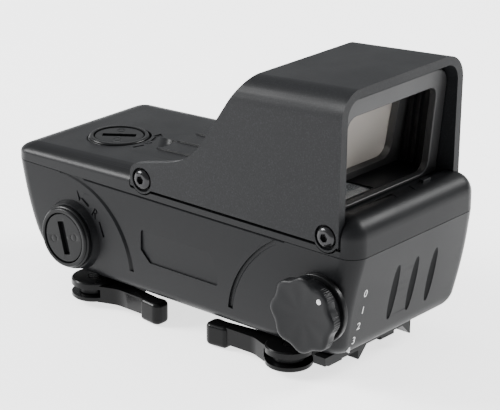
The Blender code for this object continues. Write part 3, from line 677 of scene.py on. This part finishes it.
def sloped(y):
    return [(x, y, z - hood["slope"] * (y - housing["rear"])) for x, z in bend]


shell = prism("hood_shell", sloped(hood["rear"] - 2),
              (0, hood["front"] - hood["rear"] + 4, -hood["slope"] * (hood["front"] - hood["rear"] + 4)))
side = rounded([(hood["rear"] + 0.2, hood["bottom"], 0.3), (hood["front"], hood["bottom"], 0.3),
                (hood["front"], 38.9, 3.2), (-3.8, 44.2, 20.0), (-21.9, 71.2, 3.0), (-23.0, 80.0, 0),
                (hood["rear"] - 0.3, 80.0, 0)], 18)
sideTool = prism("hood_side", [(-40, y, z) for y, z in side], (80, 0, 0))
for y, z in hoodScrews.values():
    carve(sideTool, bore("ear", 3.9, (-41, y, z), (41, y, z)), "UNION")
carve(shell, sideTool, "INTERSECT")
for flank in (-1, 1):
    for name, (y, z) in hoodScrews.items():
        carve(shell, bore("pocket", hood["screwPocket"], ((hood["half"] - hood["pocketDepth"]) * flank, y, z),
                          ((hood["half"] + 3) * flank, y, z)))
        carve(shell, bore("clearance", 1.8, (18 * flank, y, z), (32 * flank, y, z), 32))
soften(shell, hood["edge"], 3, 38)
smooth(shell)
settle(shell, "sight", blasted, "anodised", "hood")
print("hood made")


# hood screws: a button head with a hex socket, modelled once and copied to its four places

screw = {"head": 2.85, "rise": 1.55, "shank": 1.5, "length": 7.0, "flat": 1.35, "hex": 1.2, "socket": 0.45,
         "edge": 0.07, "brim": 0.25, "seat": hood["half"] - hood["pocketDepth"] + 0.3}
dome = [(0, screw["rise"]), (screw["flat"], screw["rise"])]
dome += [(screw["flat"] + (screw["head"] - screw["flat"]) * math.sin(a),
          screw["brim"] + (screw["rise"] - screw["brim"]) * math.cos(a))
         for a in [math.radians(9 * k) for k in range(1, 11)]]
dome += [(screw["head"], 0), (screw["shank"], 0), (screw["shank"], -screw["length"]), (0, -screw["length"])]
firstScrew = turn("hood_screw", dome, (0, 0, 0), (0, 0, 1), 48, closed=False)
corners = arc((0, 0), screw["hex"], 15, 315, 5)
carve(firstScrew, prism("socket", [(x, y, screw["socket"]) for x, y in corners], (0, 0, 3)))
soften(firstScrew, screw["edge"], 2, 40)
smooth(firstScrew, 40)
for flank, side in ((-1, "left"), (1, "right")):
    for name, (y, z) in hoodScrews.items():
        piece = firstScrew.copy()
        piece.data = firstScrew.data.copy()
        piece.name = f"hood_screw_{name}_{side}_fine"
        bpy.context.scene.collection.objects.link(piece)
        piece.matrix_world = Matrix.Translation(Vector((screw["seat"] * flank, y, z)) * mm) @ \
            Vector((flank, 0, 0)).to_track_quat("Z", "Y").to_matrix().to_4x4()
        makeActive(piece)
        freeze()
        settle(piece, "sight", oxide, "black_steel", f"hood_screw_{name}_{side}")
bpy.data.objects.remove(firstScrew)
print("hood screws made")


# turrets: a cup with a stepped rim and a coin-slotted disc

turret = {"rim": 8.4, "flange": 8.8, "body": 8.0, "bore": 7.2, "disc": 6.9, "discTop": 1.9, "shank": 1.5,
          "slotLong": 4.75, "slotWide": 1.15, "slotDeep": 1.25, "witness": (1.0, 1.15), "witnessDeep": 0.06,
          "witnessAt": 3.9, "cupTop": 2.1, "cupFloor": -1.4, "cupFoot": -2.6, "shaftHole": 1.8}


def makeTurret(name, at, outward, shaft, slotTurn):
    t = turret
    cup = [(t["bore"], t["cupTop"]), (t["rim"] - 0.3, t["cupTop"]), (t["rim"], 1.75), (t["rim"], 1.35),
           (t["flange"], 1.1), (t["flange"], 0.3), (t["body"], 0.3), (t["body"], t["cupFoot"]),
           (t["shaftHole"], t["cupFoot"]), (t["shaftHole"], t["cupFloor"]), (t["bore"], t["cupFloor"])]
    piece = turn(f"{name}_cup", cup, at, outward, 128)
    soften(piece, 0.1, 2, 30)
    smooth(piece)
    settle(piece, "sight", coated, "anodised", f"{name}_ring")
    disc = [(0, t["discTop"]), (t["disc"] - 0.35, t["discTop"]), (t["disc"] - 0.1, t["discTop"] - 0.1),
            (t["disc"], t["discTop"] - 0.35), (t["disc"], 0), (t["shank"], 0), (t["shank"], -shaft),
            (0, -shaft)]
    piece = turn(f"{name}_disc", disc, at, outward, 128, closed=False)
    spin = Matrix.Rotation(slotTurn, 4, Vector(outward))
    frameTurn = Vector(outward).to_track_quat("Z", "Y").to_matrix().to_4x4()
    move = Matrix.Translation((Vector(at) + Vector(outward) * t["discTop"]) * mm) @ spin @ frameTurn
    outline = boxOutline((-t["slotLong"], -t["slotWide"]), (t["slotLong"], t["slotWide"]), 0.3, 3)
    tool = prism("coin_slot", [(a, b, -t["slotDeep"]) for a, b in outline], (0, 0, 4))
    tool.matrix_world = move
    makeActive(tool)
    freeze()
    carve(piece, tool)
    for flank in (-1, 1):
        # two shallow round witness marks left by the mould
        inner, outer = t["witness"]
        low = -t["witnessDeep"]
        ring = turn("witness", [(outer, 1), (inner, 1), (inner, low), (outer, low)], (0, 0, 0), (0, 0, 1), 32)
        ring.matrix_world = move @ Matrix.Translation((0, t["witnessAt"] * flank * mm, 0))
        makeActive(ring)
        freeze()
        carve(piece, ring)
    soften(piece, 0.08, 2, 40)
    smooth(piece)
    settle(piece, f"{name}_screw", coated, "adjuster_steel", f"{name}_adjuster")


makeTurret("elevation", elevation["at"], (0, 0, 1), 13.7, math.radians(-54))
makeTurret("windage", windage["at"], (-1, 0, 0), 25.0, math.radians(105))
print("turrets made")


# power knob: scalloped rim with fine ribs on its lobes

knob.update({"points": 384, "ribs": 0.16, "ribsPerLobe": 6, "dish": 0.35, "back": -28.3})


def knobRadius(angle, ribbed):
    lobe = math.cos(knob["lobes"] * angle)
    radius = knob["radius"] + knob["wave"] * lobe
    if ribbed and lobe > -0.1:
        radius -= knob["ribs"] * (0.5 + 0.5 * math.cos(knob["lobes"] * knob["ribsPerLobe"] * angle * 2))
    return radius


def knobRing(x, shrink, lobed=True, ribbed=False):
    ring = []
    for k in range(knob["points"]):
        angle = math.tau * k / knob["points"]
        radius = (knobRadius(angle, ribbed) if lobed else knob["radius"]) - shrink
        ring.append((x, knob["y"] + radius * math.cos(angle), knob["z"] + radius * math.sin(angle)))
    return ring


face = knob["face"]
rings = [knobRing(knob["back"], 1.7, False), knobRing(-30.5, 1.6, False), knobRing(-30.6, 1.2),
         knobRing(-30.75, 0.35), knobRing(-30.95, 0.05), knobRing(-31.1, 0.0, ribbed=True),
         knobRing(-33.2, 0.0, ribbed=True), knobRing(-33.35, 0.02), knobRing(-33.65, 0.14),
         knobRing(-33.85, 0.42), knobRing(-33.97, 0.8), knobRing(face, 1.2), knobRing(-33.96, 1.7)]
rings += [knobRing(face + knob["dish"] * (1 - (1 - k / 7) ** 2) + 0.04, 1.7 + 1.1 * k, k < 5)
          for k in range(1, 8)]
grip = stack("power_grip", rings)
carve(grip, bore("shaft_pocket", 3.3, (-20, knob["y"], knob["z"]), (-32.6, knob["y"], knob["z"])))
dotY, dotZ = knob["y"] - 5.6, knob["z"] + 5.3
carve(grip, bore("dot_pocket", 0.8, (-33.2, dotY, dotZ), (-36, dotY, dotZ), 32))
smooth(grip, 40)
settle(grip, "power_switch", moulded, "polymer", "power_knob")
dot = turn("white_dot", [(0, 0.55), (0.55, 0.53), (0.72, 0.42), (0.74, 0), (0, 0)], (-33.5, dotY, dotZ),
           (-1, 0, 0), 40, closed=False)
smooth(dot, 50)
settle(dot, "power_switch", whitePaint, "white_paint", "index_dot")
print("power knob made")


# levers: a slotted fork, a waisted arm and a deeper thumb tab at its end

lever = {"x": -22.0, "y": 35.035, "fork": 6.3, "top": 1.1, "bottom": -4.4, "slot": (-3.1, -0.7),
         "tabTop": 0.5, "tabBottom": -5.8, "tabRound": 1.3, "edge": 0.3, "pin": 1.9,
         "armTop": 0.3}


def makeLever(name, side):
    # side is 1 for the front lever, whose tab points back, and -1 for the rear one
    toward = -side
    y = lever["y"] * side

    def plan(corners, low, high):
        outline = rounded([(lever["x"] + a, y + toward * b, r) for a, b, r in corners], 7)
        return prism("lever_part", [(px, py, low) for px, py in outline], (0, 0, high - low))

    rim = 0.35
    piece = turn(f"{name}_fine", [(0, lever["top"]), (lever["fork"] - rim, lever["top"]),
                                  (lever["fork"], lever["top"] - rim), (lever["fork"], lever["bottom"] + rim),
                                  (lever["fork"] - rim, lever["bottom"]), (0, lever["bottom"])],
                 (lever["x"], y, 0), (0, 0, 1), 64, closed=False)
    arm = plan([(-4.4, 3.0, 0.5), (4.2, 3.0, 0.5), (3.0, 11.0, 7.0), (1.4, 23.0, 0.5), (-1.9, 23.0, 0.5),
                (-1.7, 10.5, 7.0)], lever["bottom"] + 0.02, lever["armTop"])
    tab = plan([(1.7, 19.6, 1.2), (2.4, 26.8, 2.0), (-3.4, 26.8, 2.0), (-2.5, 19.6, 1.2)],
               lever["tabBottom"], lever["tabTop"])
    soften(tab, lever["tabRound"], 4, 40)
    carve(piece, arm, "UNION")
    carve(piece, tab, "UNION")
    low, high = lever["slot"]
    carve(piece, bore("fork_slot", lever["fork"] + 0.3, (lever["x"], y, low), (lever["x"], y, high), 64))
    carve(piece, bore("pin_bore", lever["pin"], (lever["x"], y, -8), (lever["x"], y, 4), 32))
    soften(piece, lever["edge"], 2, 45)
    smooth(piece, 40)
    settle(piece, name, leverFinish, "anodised", name)


makeLever("front_lever", 1)
makeLever("rear_lever", -1)
print("levers made")


# numbers beside the knob, printed on the raked rear face

numbers = {"size": 3.0, "x": (-17.3, -17.0, -17.4, -18.3, -19.5), "z": (19.3, 14.4, 9.9, 6.0, 2.6)}
for index, (x, z) in enumerate(zip(numbers["x"], numbers["z"])):
    rake = Vector((0, housingRear(z + 1) - housingRear(z - 1), 2)).normalized()
    place = facing((x, housingRear(max(z, 3.2)) + 0.46, max(z, 3.6)), (1, 0, 0), rake)
    digit = letter(f"dial_number_{index}", str(index), numbers["size"], place)
    settle(digit, "sight", whitePaint, "white_paint")
print("numbers made")


# these pieces are copies of the frame's shapes, merged and given rounded edges

fineCopies = {
    "rear_bezel": (0.35, 3, bezelFinish, "matte_black"), "tunnel_liner": (0.15, 2, deadBlack, "matte_black"),
    "lens_frame": (0.3, 3, frameFinish, "matte_black"), "front_lens": (0.15, 2, lensGlassTintAndPaintedReflection, "coated_glass"),
    "emitter_window": (0.12, 2, clearGlass, "clear_glass"), "mount_base": (0.25, 2, coated, "anodised"),
    "front_clamp_bar": (0.3, 2, coated, "anodised"), "rear_clamp_bar": (0.3, 2, coated, "anodised"),
    "knob_collar": (0.15, 2, coated, "polymer"), "battery_cap": (0.2, 2, coated, "anodised"),
    "rotary_switch": (0.3, 2, acetal, "matte_black"), "circuit_board": (0.1, 1, boardFinish, "board"),
    "elevation_stage": (0.3, 2, acetal, "stage_plastic"), "windage_stage": (0.3, 2, acetal, "stage_plastic")}
for node, (width, segments, material, slot) in fineCopies.items():
    body = frame["nodes"][node]["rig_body"]
    settle(tidyCopy(node, width, segments), body, material, slot, node)

carried = {"cover_gasket": rubberFinish, "elevation_o_ring": rubberFinish, "windage_o_ring": rubberFinish,
           "knob_o_ring": rubberFinish, "battery_cap_o_ring": rubberFinish, "knob_shaft": oxide,
           "led_emitter": nickel, "battery": wrapFinish, "battery_sleeve": nickel, "contact_plate": nickel,
           "contact_spring": nickel, "mount_screw_front_left": oxide, "mount_screw_front_right": oxide,
           "mount_screw_rear_left": oxide, "mount_screw_rear_right": oxide, "front_lever_pin": oxide,
           "rear_lever_pin": oxide}
for node, material in carried.items():
    paint(frame["nodes"][node], material)
print("other pieces finished")


# floor, light and camera

studio = {"floorColor": (0.92, 0.92, 0.92), "worldColor": (0.96, 0.98, 1.0), "worldStrength": 0.7,
          "floorSize": 6.0, "floorGlow": 1.9}
deselectAll()
bpy.ops.mesh.primitive_plane_add(size=studio["floorSize"], location=(0, 0, cadBounds[0][2]))
floor = bpy.context.object
floor.name = "studio_floor"
floorLook = finish("studio_floor", {**plain, "color": studio["floorColor"], "roughness": 0.6,
                                    "patchChange": 0.005, "grainScale": 300, "grainStrength": 0.02})
glow = floorLook.node_tree.nodes["Principled BSDF"].inputs
glow["Emission Color"].default_value = (1, 1, 1, 1)
glow["Emission Strength"].default_value = studio["floorGlow"]
paint(floor, floorLook)
world = bpy.data.worlds.new("studio")
bpy.context.scene.world = world
world.use_nodes = True
sky = world.node_tree.nodes["Background"]
sky.inputs["Color"].default_value = (*studio["worldColor"], 1)
sky.inputs["Strength"].default_value = studio["worldStrength"]


def areaLight(name, place, aim, size, power, color=(1, 1, 1)):
    lamp = bpy.data.lights.new(name, "AREA")
    lamp.shape = "RECTANGLE"
    lamp.size, lamp.size_y = size
    lamp.energy = power
    lamp.color = color
    holder = bpy.data.objects.new(name, lamp)
    bpy.context.scene.collection.objects.link(holder)
    holder.location = place
    holder.rotation_euler = (Vector(aim) - Vector(place)).to_track_quat("-Z", "Y").to_euler()


areaLight("left_softbox", (-0.55, 0.78, 0.5), (0, 0, 0.03), (0.5, 0.35), 23)
areaLight("right_softbox", (0.75, -0.55, 0.7), (0, -0.02, 0.03), (0.5, 0.35), 14)
areaLight("top_softbox", (0.1, 0.3, 1.1), (0, 0, 0.04), (0.9, 0.9), 3)

view = {"azimuth": -49.65, "elevation": 20.45, "roll": 0.34, "distance": 0.5795, "lens": 155.44,
        "aim": (0, 0, 0.0408), "across": 0.00207, "above": -0.01536}
az, el, roll = (math.radians(view[key]) for key in ("azimuth", "elevation", "roll"))
back = Vector((math.sin(az) * math.cos(el), -math.cos(az) * math.cos(el), math.sin(el)))
level = Vector((math.cos(az), math.sin(az), 0))
upright = level.cross(-back)
right = level * math.cos(roll) + upright * math.sin(roll)
top = upright * math.cos(roll) - level * math.sin(roll)
lens = bpy.data.cameras.new("camera")
lens.lens = view["lens"]
lens.sensor_width = 36
lens.clip_start = 0.01
camera = bpy.data.objects.new("camera", lens)
bpy.context.scene.collection.objects.link(camera)
place = Vector(view["aim"]) + back * view["distance"] + right * view["across"] + top * view["above"]
camera.matrix_world = Matrix.Translation(place) @ Matrix((right, top, back)).transposed().to_4x4()
bpy.context.scene.camera = camera
print("studio set")
